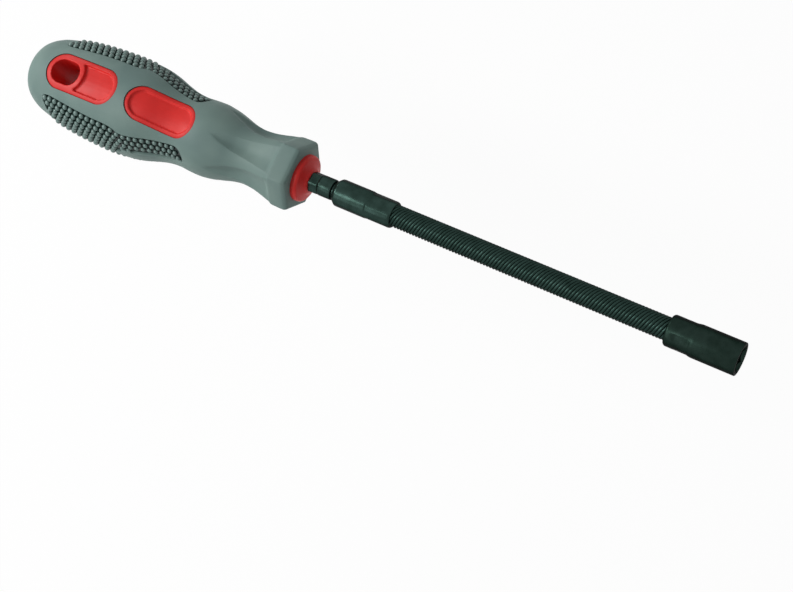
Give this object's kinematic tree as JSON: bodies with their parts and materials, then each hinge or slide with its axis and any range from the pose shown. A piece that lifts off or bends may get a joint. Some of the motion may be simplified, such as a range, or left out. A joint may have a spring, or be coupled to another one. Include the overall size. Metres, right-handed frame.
{
  "type": "hose clamp driver",
  "caption": "Straight hand driver with a soft grip over a hard core, a flexible wire-laid shaft and a hex socket for hose clamp screws.",
  "frame": {"origin": "centre of the bounding box, on the tool's axis at rest", "axes": "+X along the tool from the handle's butt to the socket's mouth, +Z out of one face with windows, +Y out of the left textured side"},
  "size_m": [0.2626, 0.0342, 0.033],
  "materials": {
    "grip_rubber": "satin grey-green soft grip",
    "band_rubber": "dark grey-green studded band",
    "core_plastic": "red moulded plastic",
    "black_steel": "black oxide",
    "wire_steel": "black oxide wire"
  },
  "bodies": {
    "handle": {"handle_core": "core_plastic", "handle_grip": "grip_rubber", "grip_band_left": "band_rubber", "grip_band_right": "band_rubber", "drive_shank": "black_steel", "rear_ferrule": "black_steel", "outer_wires_00": "wire_steel", "core_link_00": "wire_steel"},
    "shaft_01": {"outer_wires_01": "wire_steel", "core_link_01": "wire_steel"},
    "shaft_02": {"outer_wires_02": "wire_steel", "core_link_02": "wire_steel"},
    "shaft_03": {"outer_wires_03": "wire_steel", "core_link_03": "wire_steel"},
    "shaft_04": {"outer_wires_04": "wire_steel", "core_link_04": "wire_steel"},
    "shaft_05": {"outer_wires_05": "wire_steel", "core_link_05": "wire_steel"},
    "shaft_06": {"outer_wires_06": "wire_steel", "core_link_06": "wire_steel"},
    "shaft_07": {"outer_wires_07": "wire_steel", "core_link_07": "wire_steel"},
    "shaft_08": {"outer_wires_08": "wire_steel", "core_link_08": "wire_steel"},
    "shaft_09": {"outer_wires_09": "wire_steel", "core_link_09": "wire_steel"},
    "shaft_10": {"outer_wires_10": "wire_steel", "core_link_10": "wire_steel"},
    "shaft_11": {"outer_wires_11": "wire_steel", "core_link_11": "wire_steel"},
    "socket": {"hex_socket": "black_steel", "outer_wires_12": "wire_steel", "core_link_12": "wire_steel"}
  },
  "joints": [
    {"name": "bend_pitch_01", "type": "hinge", "parent": "handle", "child": "shaft_01", "pos_m": [0.02037, 0, 0], "axis": [0, 1, 0], "range_deg": [-16.7, 16.7], "stiffness_Nm_per_rad": 0.5},
    {"name": "bend_yaw_01", "type": "hinge", "parent": "shaft_01", "child": "shaft_02", "pos_m": [0.02768, 0, 0], "axis": [0, 0, 1], "range_deg": [-16.7, 16.7], "stiffness_Nm_per_rad": 0.5},
    {"name": "bend_pitch_02", "type": "hinge", "parent": "shaft_02", "child": "shaft_03", "pos_m": [0.035, 0, 0], "axis": [0, 1, 0], "range_deg": [-16.7, 16.7], "stiffness_Nm_per_rad": 0.5},
    {"name": "bend_yaw_02", "type": "hinge", "parent": "shaft_03", "child": "shaft_04", "pos_m": [0.04231, 0, 0], "axis": [0, 0, 1], "range_deg": [-16.7, 16.7], "stiffness_Nm_per_rad": 0.5},
    {"name": "bend_pitch_03", "type": "hinge", "parent": "shaft_04", "child": "shaft_05", "pos_m": [0.04963, 0, 0], "axis": [0, 1, 0], "range_deg": [-16.7, 16.7], "stiffness_Nm_per_rad": 0.5},
    {"name": "bend_yaw_03", "type": "hinge", "parent": "shaft_05", "child": "shaft_06", "pos_m": [0.05694, 0, 0], "axis": [0, 0, 1], "range_deg": [-16.7, 16.7], "stiffness_Nm_per_rad": 0.5},
    {"name": "bend_pitch_04", "type": "hinge", "parent": "shaft_06", "child": "shaft_07", "pos_m": [0.06426, 0, 0], "axis": [0, 1, 0], "range_deg": [-16.7, 16.7], "stiffness_Nm_per_rad": 0.5},
    {"name": "bend_yaw_04", "type": "hinge", "parent": "shaft_07", "child": "shaft_08", "pos_m": [0.07157, 0, 0], "axis": [0, 0, 1], "range_deg": [-16.7, 16.7], "stiffness_Nm_per_rad": 0.5},
    {"name": "bend_pitch_05", "type": "hinge", "parent": "shaft_08", "child": "shaft_09", "pos_m": [0.07889, 0, 0], "axis": [0, 1, 0], "range_deg": [-16.7, 16.7], "stiffness_Nm_per_rad": 0.5},
    {"name": "bend_yaw_05", "type": "hinge", "parent": "shaft_09", "child": "shaft_10", "pos_m": [0.0862, 0, 0], "axis": [0, 0, 1], "range_deg": [-16.7, 16.7], "stiffness_Nm_per_rad": 0.5},
    {"name": "bend_pitch_06", "type": "hinge", "parent": "shaft_10", "child": "shaft_11", "pos_m": [0.09352, 0, 0], "axis": [0, 1, 0], "range_deg": [-16.7, 16.7], "stiffness_Nm_per_rad": 0.5},
    {"name": "bend_yaw_06", "type": "hinge", "parent": "shaft_11", "child": "socket", "pos_m": [0.10083, 0, 0], "axis": [0, 0, 1], "range_deg": [-16.7, 16.7], "stiffness_Nm_per_rad": 0.5}
  ],
  "couplings": [
    {"joint": "bend_pitch_02", "follows": "bend_pitch_01", "ratio": 1},
    {"joint": "bend_yaw_02", "follows": "bend_yaw_01", "ratio": 1},
    {"joint": "bend_pitch_03", "follows": "bend_pitch_01", "ratio": 1},
    {"joint": "bend_yaw_03", "follows": "bend_yaw_01", "ratio": 1},
    {"joint": "bend_pitch_04", "follows": "bend_pitch_01", "ratio": 1},
    {"joint": "bend_yaw_04", "follows": "bend_yaw_01", "ratio": 1},
    {"joint": "bend_pitch_05", "follows": "bend_pitch_01", "ratio": 1},
    {"joint": "bend_yaw_05", "follows": "bend_yaw_01", "ratio": 1},
    {"joint": "bend_pitch_06", "follows": "bend_pitch_01", "ratio": 1},
    {"joint": "bend_yaw_06", "follows": "bend_yaw_01", "ratio": 1}
  ]
}
